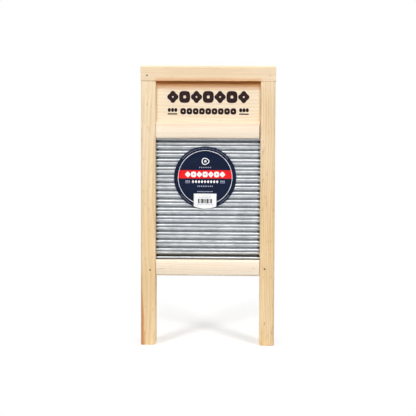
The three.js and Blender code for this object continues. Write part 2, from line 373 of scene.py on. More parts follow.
def build_zinc_spangle(name):
    """Frost-like grains of hot-dipped zinc, rubbed along X."""
    inputs = {"Place": "vector", "Bright": "colour", "Dull": "colour"}
    outputs = {"Colour": "colour", "Roughness": "number", "Height": "number"}
    tree, given, out = group_tree(name, "ShaderNodeTree", inputs, outputs)
    place = given["Place"]
    jitter = tree.noise(place, scale=260.0, detail=2.0)
    warped = tree.vector("ADD", place, tree.joined(tree.times(jitter, 4 * MM), 0.0, 0.0))
    grains = tree.add("ShaderNodeTexVoronoi", {"Vector": warped, "Scale": 150.0}).outputs["Color"]
    grain = tree.split(grains)[0]
    rubbing = tree.noise(tree.stretched(place, 0.04, 1, 1), scale=900.0, detail=2.0)
    cloud = tree.noise(place, scale=22.0, detail=2.0)
    tone = tree.times_plus(grain, 0.5, tree.times(cloud, 0.6))
    tree.put(out["Colour"], tree.mix(tone, given["Bright"], given["Dull"]))
    rough = tree.times_plus(grain, 0.08, tree.times(rubbing, 0.16))
    tree.put(out["Roughness"], tree.times_plus(cloud, 0.1, tree.plus(rough, 0.3)))
    tree.put(out["Height"], tree.times_plus(rubbing, 0.5, tree.times(grain, 0.2)))


def build_paper_ripple(name):
    """Paper that follows the ribs behind it a little, with ink that lies a little unevenly."""
    inputs = {"Place": "vector", "Ink": "colour"}
    outputs = {"Colour": "colour", "Roughness": "number", "Height": "number"}
    tree, given, out = group_tree(name, "ShaderNodeTree", inputs, outputs)
    place = given["Place"]
    z = tree.split(place)[2]
    pitch = (SHEET[1].z - SHEET[0].z) / bpy.context.scene.washboard.sheet.ribs
    turn = tree.over(tree.minus(z, SHEET[0].z), pitch / math.tau)
    rib = tree.math("COSINE", turn)
    crease = tree.noise(tree.stretched(place, 0.35, 1, 1), scale=90.0, detail=2.0)
    tooth = tree.noise(place, scale=2600.0, detail=1.0)
    height = tree.times_plus(rib, -0.3, tree.times(crease, 0.5))
    height = tree.times_plus(tooth, 0.06, height)
    patchy = tree.ramp(tree.noise(place, scale=70.0, detail=3.0), 0.3, 0.7, 0.93, 1.06)
    tree.put(out["Colour"], tree.vector("SCALE", given["Ink"], scale=patchy))
    tree.put(out["Roughness"], tree.ramp(crease, 0.3, 0.7, 0.36, 0.5))
    tree.put(out["Height"], height)


# ---- Materials -----------------------------------------------------------------------------------


MATT = {"Specular IOR Level": 0.2}


def new_material(name):
    """An empty new material, and the object coordinates to hang a pattern on."""
    material = bpy.data.materials.new(name)
    material.use_nodes = True
    material.node_tree.nodes.clear()
    tree = Tree(material.node_tree)
    place = tree.add("ShaderNodeTexCoord").outputs["Object"]
    return material, tree, place


def close_material(tree, colour, roughness, height, depth, **shader_values):
    """Ends a material in a Principled shader with a bump of this depth in metres."""
    bump = tree.add("ShaderNodeBump", {"Height": height, "Distance": depth, "Strength": 1.0})
    values = {"Base Color": colour, "Roughness": roughness, "Normal": bump.outputs[0]}
    shader = tree.add("ShaderNodeBsdfPrincipled", {**values, **shader_values}).outputs[0]
    tree.add("ShaderNodeOutputMaterial", {"Surface": shader})


def tinted(tree, share, colour, tint):
    """A colour that is multiplied by tint where share is 1."""
    return tree.mix(share, colour, tree.vector("MULTIPLY", colour, tint))


# What each tint multiplies the wood's red, green and blue by. The first two make a post paler
# towards the top; the other three are painted shade.
LEFT_UPPER_TINT = (1.02, 1.12, 1.36)
RIGHT_UPPER_TINT = (0.96, 1.0, 1.14)
LEDGE_TOP_SHADE = (0.92, 0.8, 0.74)
GAP_SHADE = (0.3, 0.12, 0.06)
CORNER_SHADE = (0.86, 0.78, 0.58)

PALING_START, PALING_END = 0.16, 0.4  # heights between which a post goes pale


def post_tint(wood, side):
    """Paler towards the top. The left post shows an orange-brown streak along the outer arris of its leg,
    partly real colour and partly painted shade.
    """

    def overlay(tree, place, colour):
        x, y, z = tree.split(place)
        upper_tint = LEFT_UPPER_TINT if side < 0 else RIGHT_UPPER_TINT
        colour = tinted(tree, tree.ramp(z, PALING_START, PALING_END), colour, upper_tint)
        if side > 0:
            return colour
        # The orange-brown streak down the leg's outer arris is partly real colour and partly painted
        # shade.
        across = tree.plus(x, POST_OUTER)
        deep = tree.minus(y, LEFT_POST[0].y)
        from_arris = tree.vector("LENGTH", tree.joined(across, deep, 0.0))
        ragged = tree.noise(tree.stretched(place, 1, 1, 0.12), scale=260.0, detail=3.0)
        edge = tree.times_plus(z, -0.05, 9.4 * MM)
        edge = tree.times_plus(ragged, -4.5 * MM, edge)
        share = tree.ramp(tree.minus(edge, from_arris), -0.4 * MM, 1.6 * MM, 0.0, 0.85)
        return tree.mix(share, colour, wood.heartwood_and_shade)

    return overlay


def rail_edge_shade(wood):
    """Painted shade darkens it along the edge that overhangs the panel."""

    def overlay(tree, place, colour):
        x, _, z = tree.split(place)
        # Painted shade along the rail's lower edge between the posts.
        low = tree.ramp(z, TOP_RAIL[0].z, TOP_RAIL[0].z + 8 * MM, 0.6, 0.0)
        across = tree.math("ABSOLUTE", x)
        between = tree.ramp(across, POST_INNER - 3 * MM, POST_INNER + 6 * MM, 1.0, 0.0)
        return tinted(tree, tree.times(low, between), colour, wood.painted_crevice_shade)

    return overlay


def ledge_painted_shade(tree, place, colour):
    """Painted shade along the ledge's upper arris, and nearly black painted shade where its right end is
    cut short.
    """
    x, _, z = tree.split(place)
    # Painted shade along the upper arris, and in the gap at the right end.
    upper = tree.ramp(z, LEDGE[1].z - 10 * MM, LEDGE[1].z - 1.5 * MM)
    colour = tinted(tree, upper, colour, LEDGE_TOP_SHADE)
    gap = tree.ramp(x, POST_INNER - 1.2 * MM, POST_INNER - 1.1 * MM)
    return tinted(tree, gap, colour, GAP_SHADE)


def panel_corner_shade(wood):
    """Painted shade darkens it in the corner under the rail and in those beside the posts."""

    def overlay(tree, place, colour):
        x, _, z = tree.split(place)
        # Painted shade: the rail's shadow on the panel, and the shade beside the posts.
        under = tree.ramp(z, TOP_RAIL[0].z - 18 * MM, TOP_RAIL[0].z - MM)
        beside = tree.ramp(tree.math("ABSOLUTE", x), POST_INNER - 3.5 * MM, POST_INNER)
        colour = tinted(tree, beside, colour, CORNER_SHADE)
        return tinted(tree, under, colour, wood.painted_crevice_shade)

    return overlay


# Where the middle of each board's tree lay, in millimetres across the grain, the millimetres between
# its years, and how strongly its years and its flecks show.
COMMON_PINE = {"spacing": 3.4, "contrast": 1.0, "flecks": 0.35}
PINES = {
    "left post pine": {"pith": (70, 62), "contrast": 0.85, "flecks": 0.5},
    "right post pine": {"pith": (-150, 44), "contrast": 1.1, "flecks": 0.7},
    "top rail pine": {"pith": (-90, 40), "contrast": 0.9},
    "soap ledge pine": {"pith": (-60, 90), "contrast": 0.8, "flecks": 0.2},
    "bottom rail pine": {"pith": (50, 70), "contrast": 0.9, "flecks": 0.4},
    "panel pine": {"pith": (-400, 260), "spacing": 5, "contrast": 0.8, "flecks": 0.2},
    "slat pine": {"pith": (-160, 60), "flecks": 0.3},
}


def wood_material(name, pale, dark, along, overlay=None):
    """Planed pine whose grain runs along "x" or "z"."""
    pine = {**COMMON_PINE, **PINES[name]}
    material, tree, place = new_material(name)
    turn = (0.0, -math.pi / 2, 0.0) if along == "x" else (0.0, 0.0, 0.0)
    mapping = {"Vector": place, "Location": Vector((*pine["pith"], 0.0)) * MM, "Rotation": turn}
    values = {
        "Place": tree.add("ShaderNodeMapping", mapping).outputs[0],
        "Pale": pale,
        "Dark": dark,
        "Ring Spacing": pine["spacing"] * MM,
        "Contrast": pine["contrast"],
        "Flecks": pine["flecks"],
    }
    group = shared("Wood Grain", build_wood_grain)
    finish = tree.add("ShaderNodeGroup", values, node_tree=group).outputs
    colour = finish["Colour"]
    # An overlay adds real colour and painted shade to some pieces.
    if overlay is not None:
        colour = overlay(tree, place, colour)
    close_material(tree, colour, finish["Roughness"], finish["Height"], 0.12 * MM)
    return material


def zinc_material(settings):
    material, tree, place = new_material("galvanised zinc")
    values = {"Place": place, "Bright": settings.zinc, "Dull": settings.dull_zinc}
    group = shared("Zinc Spangle", build_zinc_spangle)
    finish = tree.add("ShaderNodeGroup", values, node_tree=group).outputs
    x, _, z = tree.split(place)
    low, high = SHEET
    pitch = (high.z - low.z) / settings.ribs
    share = tree.math("FRACT", tree.over(tree.minus(z, low.z), pitch))
    near_post = tree.ramp(tree.math("ABSOLUTE", x), POST_INNER - 6 * MM, POST_INNER)

    def line(centre, reach, strength):
        """A line at this share of each rib's height, which widens beside the posts."""
        off = tree.math("FRACT", tree.minus(share, centre - 0.5))
        off = tree.math("ABSOLUTE", tree.minus(off, 0.5))
        off = tree.times_plus(near_post, -0.06, off)
        return tree.ramp(off, 0.2 * reach, reach, strength, 0.0)

    lowest = tree.ramp(z, low.z + 1.3 * pitch, low.z + 1.7 * pitch, 1.0, 0.0)
    crease = tree.times_plus(tree.math("MAXIMUM", near_post, lowest), 0.55, 0.45)
    # Painted shade, partly standing for grime, darkens the valley between two ribs, more so beside the
    # posts and in the lowest valley, and painted shade darkens the dent of each crest. A painted
    # highlight brightens the shoulder just above the valley.
    valley = line(0.93, 0.15, 1.0)
    crease = tree.times(crease, valley)
    dent = line(0.47, 0.145, 0.8)
    shade_and_grime = tree.math("MAXIMUM", crease, dent)
    shoulder = line(0.13, 0.09, 0.8)
    highlight_gain = tree.plus(shoulder, 1.0)
    highlighted_zinc = tree.vector("SCALE", finish["Colour"], scale=highlight_gain)
    # The lowest valley takes a brown painted reflection of the bottom rail's wood.
    tint = tree.mix(lowest, settings.shade_and_grime_tint, settings.rail_reflection_tint)
    colour = tree.mix(shade_and_grime, highlighted_zinc, tree.vector("MULTIPLY", finish["Colour"], tint))
    close_material(tree, colour, finish["Roughness"], finish["Height"], 0.01 * MM, Metallic=1.0)
    return material


def paper_material(name, ink):
    material, tree, place = new_material(name)
    group = shared("Paper Ripple", build_paper_ripple)
    finish = tree.add("ShaderNodeGroup", {"Place": place, "Ink": ink}, node_tree=group).outputs
    look = (finish["Colour"], finish["Roughness"], finish["Height"])
    close_material(tree, *look, 0.3 * MM, **MATT)
    return material


def ink_material(settings):
    """Ink pressed into bare wood, which lets some of the fibres through."""
    material, tree, place = new_material("header ink")
    fibre = tree.noise(tree.stretched(place, 0.05, 1, 1), scale=900.0, detail=3.0)
    worn = tree.ramp(fibre, 0.45, 0.75, 0.0, 0.25)
    brown = tree.vector("SCALE", settings.ink, scale=2.2)
    colour = tree.mix(worn, settings.ink, brown)
    rough = tree.ramp(fibre, 0.3, 0.7, 0.5, 0.66)
    close_material(tree, colour, rough, fibre, 0.04 * MM, **MATT)
    return material


def brad_material(settings):
    material, tree, place = new_material("brad wire")
    overlay = tree.noise(place, scale=900.0, detail=3.0)
    colour = tree.mix(overlay, settings.steel, tree.vector("SCALE", settings.steel, scale=0.45))
    x, _, z = tree.split(place)
    # Only the brad at the top right lies where both ramps are full.
    filled = tree.times(tree.ramp(x, 0.02, 0.04), tree.ramp(z, 0.3, 0.32))
    colour = tree.mix(filled, colour, settings.filler)
    metal = tree.times_plus(filled, -0.85, 0.85)
    rough = tree.ramp(overlay, 0.3, 0.7, 0.35, 0.6)
    close_material(tree, colour, rough, overlay, 0.05 * MM, Metallic=metal)
    return material


# ---- Meshes --------------------------------------------------------------------------------------

ARC_STEPS = 8  # straight steps round one quarter of an arris
FACE_STEPS = 6  # straight steps across a crowned face
STATION = 10 * MM  # distance between a bar's cross-sections
SHARP = math.radians(40)
WOBBLE_SEED = 7  # without a seed, noise_vector starts from the clock
PLANING_SEEDS = {  # so that no two pieces stray alike
    "left_post_wood": 3,
    "right_post_wood": 11,
    "top_rail_wood": 23,
    "soap_ledge_wood": 31,
    "bottom_rail_wood": 43,
    "header_panel_wood": 57,
    "back_slats": 71,
}


def new_object(name, mesh):
    made = bpy.data.objects.new(name, mesh)
    bpy.context.scene.collection.objects.link(made)
    return made


def drop(made):
    """Removes a helper object and its mesh."""
    mesh = made.data
    bpy.data.objects.remove(made)
    bpy.data.meshes.remove(mesh)


def baked(made):
    """Turns an object's modifiers into plain mesh."""
    graph = bpy.context.evaluated_depsgraph_get()
    mesh = bpy.data.meshes.new_from_object(made.evaluated_get(graph), depsgraph=graph)
    mesh.name = made.name
    made.modifiers.clear()
    old = made.data
    made.data = mesh
    bpy.data.meshes.remove(old)
    return made


def finished(made, material, slot, *nodes):
    """Gives a piece its material, and ties it to the frame."""
    if material is not None:
        made.data.materials.clear()
        made.data.materials.append(material)
    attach(made, BODY)
    if nodes:
        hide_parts(*nodes)


def mesh_from(name, build):
    """A mesh whose geometry build adds to a bmesh."""
    shape = bmesh.new()
    build(shape)
    bmesh.ops.recalc_face_normals(shape, faces=shape.faces)
    mesh = bpy.data.meshes.new(name)
    shape.to_mesh(mesh)
    shape.free()
    return mesh


def block(corner, opposite):
    """Builds a box between two opposite corners."""

    def build(shape):
        size = [abs(far - near) for near, far in zip(corner, opposite)]
        middle = (Vector(corner) + Vector(opposite)) / 2
        matrix = Matrix.Translation(middle) @ Matrix.Diagonal((*size, 1))
        bmesh.ops.create_cube(shape, size=1, matrix=matrix)

    return build


def lathe(centre, profile, steps=24):
    """Builds a solid turned about the Y direction. profile holds (radius, distance) pairs."""

    def build(shape):
        rings = []
        for radius, along in profile:
            spokes = steps if radius > 0 else 1
            ring = []
            for i in range(spokes):
                turn = math.tau * i / steps
                offset = Vector((radius * math.cos(turn), along, radius * math.sin(turn)))
                ring.append(shape.verts.new(Vector(centre) + offset))
            rings.append(ring)
        for near, far in zip(rings, rings[1:]):
            for i in range(steps):
                corners = (near[i % len(near)], near[(i + 1) % len(near)])
                corners += (far[(i + 1) % len(far)], far[i % len(far)])
                shape.faces.new(list(dict.fromkeys(corners)))

    return build


def bar_outline(width, height, lower, upper, crown=0.0):
    """Section of a bar that stands on v = 0. crown bows its two sides out."""
    half = width / 2 - crown
    right = []
    for i in range(ARC_STEPS + 1):
        turn = math.pi / 2 * (i / ARC_STEPS - 1)
        right.append((half - lower + lower * math.cos(turn), lower + lower * math.sin(turn)))
    face = height - lower - upper
    for i in range(1, FACE_STEPS):
        share = i / FACE_STEPS
        right.append((half + 4 * crown * share * (1 - share), lower + face * share))
    for i in range(ARC_STEPS + 1):
        turn = math.pi / 2 * i / ARC_STEPS
        right.append((half - upper + upper * math.cos(turn), height - upper + upper * math.sin(turn)))
    return right + [(-u, v) for u, v in reversed(right)]


def stations(start, end):
    count = max(2, round((end - start) / STATION))
    return [start + (end - start) * i / count for i in range(count + 1)]


def swept(outline, places, put):
    """Builds a closed bar. put turns a place along it and an outline point into a position."""

    def build(shape):
        rings = [[shape.verts.new(put(place, u, v)) for u, v in outline] for place in places]
        count = len(outline)
        for near, far in zip(rings, rings[1:]):
            for i in range(count):
                j = (i + 1) % count
                shape.faces.new((near[i], near[j], far[j], far[i]))
        shape.faces.new(rings[0])
        shape.faces.new(rings[-1])

    return build


def bar_along_x(name, outline, start, end, bottom, middle=0.0):
    """A bar from start to end, whose section stands at the height bottom."""

    def put(x, u, v):
        return Vector((x, middle + u, bottom + v))

    return new_object(name, mesh_from(name, swept(outline, stations(start, end), put)))


def smoothed(piece, angle=SHARP):
    """Shades a piece smooth, but for the edges that turn by more than angle."""
    piece.data.shade_smooth()
    piece.data.set_sharp_from_angle(angle=angle)


def cut(piece, parts, operation):
    """Takes the parts out of a piece, or adds them to it."""
    mesh = mesh_from("cutter", lambda shape: [part(shape) for part in parts])
    cutter = new_object("cutter", mesh)
    boolean = piece.modifiers.new("Cut", "BOOLEAN")
    boolean.operation = operation
    boolean.solver = "EXACT"
    boolean.object = cutter
    baked(piece)
    drop(cutter)


def brad_profile(settings, length, play=0.0, rise=0.0):
    """Half outline of a brad, grown by play, with its head carried rise further forwards."""
    head = settings.head / 2 + play
    shank = settings.shank / 2 + play
    under = settings.head_height + play
    soft = 0.25 * MM if rise == 0 else 0.0
    return [
        (0.0, -rise),
        (head - soft, -rise),
        (head, soft - rise),
        (head, under),
        (shank, under),
        (shank, length - settings.point),
        (0.0, length + 2 * play),
    ]


def brad_holes(piece, settings):
    """Cutters for the brads whose place lies in a piece."""
    low = Vector(map(min, zip(*piece.bound_box)))
    high = Vector(map(max, zip(*piece.bound_box)))
    holes = []
    for place, (near, far) in zip(BRAD_PLACES, BRADS):
        if low.x < place.x < high.x and low.z < place.z < high.z:
            profile = brad_profile(settings, far.y - near.y, play=0.15 * MM, rise=2 * MM)
            holes.append(lathe(place, profile))
    return holes


def roam(point, amount, seed):
    """How far a planed face has strayed at a point, in a slow drift with a quicker chatter on it."""
    slow = noise.noise_vector(point * 9 + Vector((seed, 0, 0)))
    quick = noise.noise_vector(point * 60 + Vector((0, seed, 0)))
    return (slow + quick * 0.3) * amount


def planed(piece, board, removed=(), added=()):
    """Grooves a bar, bores it for its brads, sands its sawn edges and lets its faces stray."""
    if added:
        cut(piece, added, "UNION")
    holes = brad_holes(piece, board.brads)
    if removed or holes:
        cut(piece, [*removed, *holes], "DIFFERENCE")
    sanding = piece.modifiers.new("Sanding", "BEVEL")
    sanding.width = board.wood.easing
    sanding.segments = 2
    sanding.limit_method = "ANGLE"
    sanding.angle_limit = SHARP
    baked(piece)
    seed = PLANING_SEEDS[piece.name]
    for vertex in piece.data.vertices:
        vertex.co += roam(vertex.co, board.wood.wobble, seed)
    smoothed(piece)
    piece.modifiers.new("Weighted Normals", "WEIGHTED_NORMAL").keep_sharp = True


# ---- Geometry Nodes ------------------------------------------------------------------------------

WELD = 0.001 * MM


def given_values(piece, tree, values):
    """Hangs a geometry tree on an object, with its inputs set by their identifiers."""
    modifier = piece.modifiers.new(tree.name, "NODES")
    modifier.node_group = tree
    for item in tree.interface.items_tree:
        if item.in_out == "INPUT" and item.name in values:
            modifier[item.identifier] = values[item.name]


def closed_plate(tree, sheet, offset, scale):
    """Pulls an open sheet out along offset, and closes it behind."""
    values = {"Mesh": sheet, "Offset": offset, "Offset Scale": scale, "Individual": False}
    pulled = tree.add("GeometryNodeExtrudeMesh", values).outputs["Mesh"]
    behind = tree.add("GeometryNodeFlipFaces", {"Mesh": sheet}).outputs["Mesh"]
    both = tree.add("GeometryNodeJoinGeometry")
    for side in (pulled, behind):
        tree.put(both.inputs[0], side)
    weld = {"Geometry": both.outputs[0], "Distance": WELD}
    return tree.add("GeometryNodeMergeByDistance", weld).outputs["Geometry"]


def ended(tree, geometry, material, out):
    """Realizes what a tree has made, and gives it its material."""
    real = tree.add("GeometryNodeRealizeInstances", {"Geometry": geometry}).outputs[0]
    coated = tree.add("GeometryNodeSetMaterial", {"Geometry": real, "Material": material})
    tree.put(out["Geometry"], coated.outputs[0])


def build_ribbed_sheet(name):
    """A sheet with a coarse wave and a fine one that dents each broad rib's crest."""
    inputs = {
        "Geometry": "geometry",
        **dict.fromkeys(("Ribs", "Steps per Rib", "Columns"), "count"),
        **dict.fromkeys(("Width", "Height", "Coarse", "Fine", "Thickness", "Ripple"), "number"),
        "Centre": "vector",
        "Material": "material",
    }
    tree, given, out = group_tree(name, "GeometryNodeTree", inputs, {"Geometry": "geometry"})
    rows = tree.times_plus(given["Ribs"], given["Steps per Rib"], 1.0)
    size = {"Size X": given["Width"], "Size Y": given["Height"]}
    counts = {"Vertices X": given["Columns"], "Vertices Y": rows}
    grid = tree.add("GeometryNodeMeshGrid", {**size, **counts}).outputs["Mesh"]
    x, up, _ = tree.split(tree.add("GeometryNodeInputPosition").outputs[0])
    share = tree.plus(tree.over(up, given["Height"]), 0.5)
    turn = tree.times(tree.times(share, given["Ribs"]), math.tau)
    coarse = tree.times(tree.math("COSINE", turn), given["Coarse"])
    double = tree.math("COSINE", tree.times(turn, 2.0))
    back = tree.times_plus(double, given["Fine"], coarse)
    half = tree.over(given["Thickness"], 2.0)
    spot = tree.joined(x, up, 0.0)
    wander = tree.minus(tree.noise(tree.stretched(spot, 14, 60, 1), scale=1.0, detail=1.0), 0.5)
    swell = tree.minus(tree.noise(tree.stretched(spot, 34, 75, 1), scale=1.0, detail=2.0), 0.5)
    inside = tree.times(share, tree.minus(1.0, share))
    inside = tree.math("MINIMUM", tree.times(inside, 16.0), 1.0)
    lift = tree.times(tree.times(wander, given["Ripple"]), inside)
    push = tree.times(tree.times(swell, given["Ripple"]), 0.5)
    y = tree.plus(tree.plus(back, half), push)
    z = tree.times_plus(lift, 2.0, up)
    place = tree.vector("ADD", tree.joined(x, y, z), given["Centre"])
    waved = tree.add("GeometryNodeSetPosition", {"Geometry": grid, "Position": place}).outputs[0]
    outwards = tree.add("GeometryNodeInputNormal").outputs["Normal"]
    plate = closed_plate(tree, waved, outwards, given["Thickness"])
    ended(tree, plate, given["Material"], out)


def build_printed_marks(name):
    """A row or an arc of like marks, each from a plain ellipse to a box, a lozenge or a rosette."""
    row = ("Pitch", "Bend Radius", "Turn")
    form = ("Width", "Height", "Squareness", "Lobes", "Lobe Depth", "Counter", "Film")
    inputs = {
        "Geometry": "geometry",
        **dict.fromkeys(("Count", "Sides"), "count"),
        **dict.fromkeys((*row, *form), "number"),
        "Centre": "vector",
        "Material": "material",
    }
    tree, given, out = group_tree(name, "GeometryNodeTree", inputs, {"Geometry": "geometry"})
    # A strip whose columns go round the mark and whose two rows are its outline and its counter.
    columns = tree.plus(given["Sides"], 1.0)
    values = {"Size X": 1.0, "Size Y": 1.0, "Vertices X": columns, "Vertices Y": 2}
    grid = tree.add("GeometryNodeMeshGrid", values).outputs["Mesh"]
    around, across, _ = tree.split(tree.add("GeometryNodeInputPosition").outputs[0])
    turn = tree.times(tree.plus(around, 0.5), math.tau)
    inwards = tree.plus(across, 0.5)
    ring = tree.minus(1.0, given["Counter"])
    reach = tree.minus(1.0, tree.times(inwards, ring))
    lobe = tree.math("COSINE", tree.times(turn, given["Lobes"]))
    lobe = tree.times_plus(lobe, -0.5, 0.5)
    lobe = tree.minus(1.0, tree.times(lobe, given["Lobe Depth"]))
    power = tree.over(2.0, given["Squareness"])
    sides = []
    for wave, extent in (("COSINE", "Width"), ("SINE", "Height")):
        value = tree.math(wave, turn)
        size = tree.math("POWER", tree.math("ABSOLUTE", value), power)
        size = tree.times(tree.math("SIGN", value), size)
        size = tree.times(size, tree.times(lobe, reach))
        sides.append(tree.times(size, tree.over(given[extent], 2.0)))
    outline = {"Geometry": grid, "Position": tree.joined(sides[0], 0.0, sides[1])}
    drawn = tree.add("GeometryNodeSetPosition", outline).outputs[0]
    welded = tree.add("GeometryNodeMergeByDistance", {"Geometry": drawn, "Distance": WELD}).outputs[0]
    mark = closed_plate(tree, welded, tree.joined(0.0, -1.0, 0.0), given["Film"])

    # The places along a straight row, or round an arc where the row has a bend radius.
    points = tree.add("GeometryNodeMeshLine", {"Count": given["Count"]}).outputs[0]
    index = tree.add("GeometryNodeInputIndex").outputs[0]
    middle = tree.times_plus(given["Count"], 0.5, -0.5)
    along = tree.times(tree.minus(index, middle), given["Pitch"])
    bent = tree.math("GREATER_THAN", given["Bend Radius"], 0.0)
    angle = tree.over(along, tree.math("MAXIMUM", given["Bend Radius"], MM))
    angle = tree.times(tree.plus(angle, given["Turn"]), bent)
    straight = tree.times(along, tree.minus(1.0, bent))
    x = tree.times_plus(tree.math("SINE", angle), given["Bend Radius"], straight)
    z = tree.times(tree.math("COSINE", angle), given["Bend Radius"])
    place = tree.vector("ADD", tree.joined(x, 0.0, z), given["Centre"])
    placed = tree.add("GeometryNodeSetPosition", {"Geometry": points, "Position": place}).outputs[0]
    turned = tree.add("FunctionNodeEulerToRotation", {0: tree.joined(0.0, angle, 0.0)}).outputs[0]
    values = {"Points": placed, "Instance": mark, "Rotation": turned}
    marks = tree.add("GeometryNodeInstanceOnPoints", values).outputs[0]
    ended(tree, marks, given["Material"], out)


def build_copies_on_points(name):
    """One piece, set at each point of the mesh that the tree hangs on."""
    inputs = {"Geometry": "geometry", "Piece": "object", "Material": "material"}
    tree, given, out = group_tree(name, "GeometryNodeTree", inputs, {"Geometry": "geometry"})
    piece = tree.add("GeometryNodeObjectInfo", {"Object": given["Piece"]}).outputs["Geometry"]
    values = {"Points": given["Geometry"], "Instance": piece}
    placed = tree.add("GeometryNodeInstanceOnPoints", values).outputs[0]
    ended(tree, placed, given["Material"], out)


def copies(name, pattern, places, material):
    """One object that holds a copy of pattern at each place."""
    points = bpy.data.meshes.new(name)
    points.from_pydata([tuple(place) for place in places], [], [])
    made = new_object(name, points)
    tree = shared("Copies On Points", build_copies_on_points)
    given_values(made, tree, {"Piece": pattern, "Material": material})
    baked(made)
    drop(pattern)
    return made


# ---- Printing ------------------------------------------------------------------------------------

BOX_LIKE = 40.0  # squareness of a mark with four straight sides
LOZENGE = 1.0
OVAL = 2.0
WINDOW_STEPS = 192  # straight steps round a whole window
SAME_SPOT = 0.01  # in millimetres


PLAIN_MARK = {
    "at": (0, 0),
    "count": 1,
    "pitch": 0.0,
    "bend": 0.0,
    "turn": 0.0,
    "form": OVAL,
    "lobes": 0,
    "depth": 0.0,
    "counter": 0.0,
    "sides": 32,
}


def printed(name, rows, film, origin, material):
    """One object that holds several rows of marks. Sizes in rows are millimetres from origin."""
    tree = shared("Printed Marks", build_printed_marks)
    shape = bmesh.new()
    for given in rows:
        row = {**PLAIN_MARK, **given}
        x, z = row["at"]
        width, height = row["size"]
        values = {
            "Count": row["count"],
            "Pitch": row["pitch"] * MM,
            "Bend Radius": row["bend"] * MM,
            "Turn": row["turn"],
            "Width": width * MM,
            "Height": height * MM,
            "Squareness": row["form"],
            "Lobes": float(row["lobes"]),
            "Lobe Depth": row["depth"],
            "Counter": row["counter"],
            "Sides": row["sides"],
            "Film": film,
            "Centre": Vector(origin) + Vector((x, 0, z)) * MM,
            "Material": material,
        }
        marks = new_object("marks", bpy.data.meshes.new("marks"))
        given_values(marks, tree, values)
        baked(marks)
        shape.from_mesh(marks.data)
        drop(marks)
    mesh = bpy.data.meshes.new(name)
    shape.to_mesh(mesh)
    shape.free()
    return new_object(name, mesh)


def disc_window(name, radius, low, high, film, origin):
    """The part of a disc that lies between two corners, as a thin plate. Sizes are millimetres."""
    outline = []
    for i in range(WINDOW_STEPS):
        turn = math.tau * (i + 0.5) / WINDOW_STEPS
        x = min(max(radius * math.cos(turn), low[0]), high[0])
        z = min(max(radius * math.sin(turn), low[1]), high[1])
        if not outline or math.dist((x, z), outline[-1]) > SAME_SPOT:
            outline.append((x, z))
    if math.dist(outline[0], outline[-1]) < SAME_SPOT:
        outline.pop()

    def put(place, x, z):
        return Vector(origin) + Vector((x * MM, place, z * MM))

    return new_object(name, mesh_from(name, swept(outline, (0.0, -film), put)))


# ---- Operators -----------------------------------------------------------------------------------


class MakePosts(bpy.types.Operator):
    """Make the two grooved posts, with their tenons and feet"""

    bl_idname = "washboard.make_posts"
    bl_label = "Make Posts"

    def execute(self, context):
        board = context.scene.washboard
        wood = board.wood
        look = (wood.post_pale, wood.post_dark, "z")
        left = wood_material("left post pine", *look, post_tint(wood, -1))
        right = wood_material("right post pine", *look, post_tint(wood, 1))
        self.make(board, "left_post", LEFT_POST, -1, left)
        self.make(board, "right_post", RIGHT_POST, 1, right)
        return {"FINISHED"}

    def make(self, board, node, box, side, material):
        wood = board.wood
        width = POST_OUTER - POST_INNER
        depth = box[1].y - box[0].y
        outline = bar_outline(width, depth, wood.arris, wood.arris)
        # Sections crowd together towards the sawn end, where the foot's rounding is tightest.
        foot = [share * share * wood.foot_up for share in (0, 0.2, 0.4, 0.6, 0.8)]
        places = foot + stations(wood.foot_up, POST_SHOULDER)

        def put(z, u, v):
            low = max(0.0, 1 - z / wood.foot_up)
            rounding = wood.foot_across * (1 - math.sqrt(1 - low**2))
            end = max(0.0, 1 - z / wood.foot_edge)
            edge = wood.foot_edge * (1 - math.sqrt(1 - end**2))
            across = (width - rounding - edge) / width
            outer = side * (POST_OUTER - edge / 2)
            x = outer + (u - side * width / 2) * across
            return Vector((x, box[0].y + depth / 2 + (v - depth / 2) * (1 - 2 * edge / depth), z))

        piece = new_object(node + "_wood", mesh_from(node, swept(outline, places, put)))
        mouth, floor, outer = (side * x for x in (POST_INNER - MM, GROOVE_FLOOR, POST_OUTER))
        groove = block((mouth, -GROOVE_HALF, -MM), (floor, GROOVE_HALF, TOP_RAIL[1].z))
        tenon_root = POST_SHOULDER - 3 * MM
        tenon = block((floor, TONGUE_FRONT, tenon_root), (outer, TONGUE_BACK, box[1].z))
        cut(piece, [groove], "DIFFERENCE")
        planed(piece, board, added=[tenon])
        finished(piece, material, "frame_pine", node)


class MakeTopRail(bpy.types.Operator):
    """Make the grooved rail that sits on the posts' tenons"""

    bl_idname = "washboard.make_top_rail"
    bl_label = "Make Top Rail"

    def execute(self, context):
        board = context.scene.washboard
        wood = board.wood
        low, high = TOP_RAIL
        size = (high.y - low.y, high.z - low.z)
        outline = bar_outline(*size, wood.rail_lower_arris, wood.arris)
        piece = bar_along_x("top_rail_wood", outline, low.x, high.x, low.z)
        groove = block(
            (low.x - MM, -GROOVE_HALF, low.z - MM),
            (high.x + MM, GROOVE_HALF, PANEL[1].z + CLEARANCE),
        )
        planed(piece, board, removed=[groove])
        look = (wood.rail_pale, wood.rail_dark, "x")
        material = wood_material("top rail pine", *look, rail_edge_shade(wood))
        finished(piece, material, "frame_pine", "top_rail")
        return {"FINISHED"}


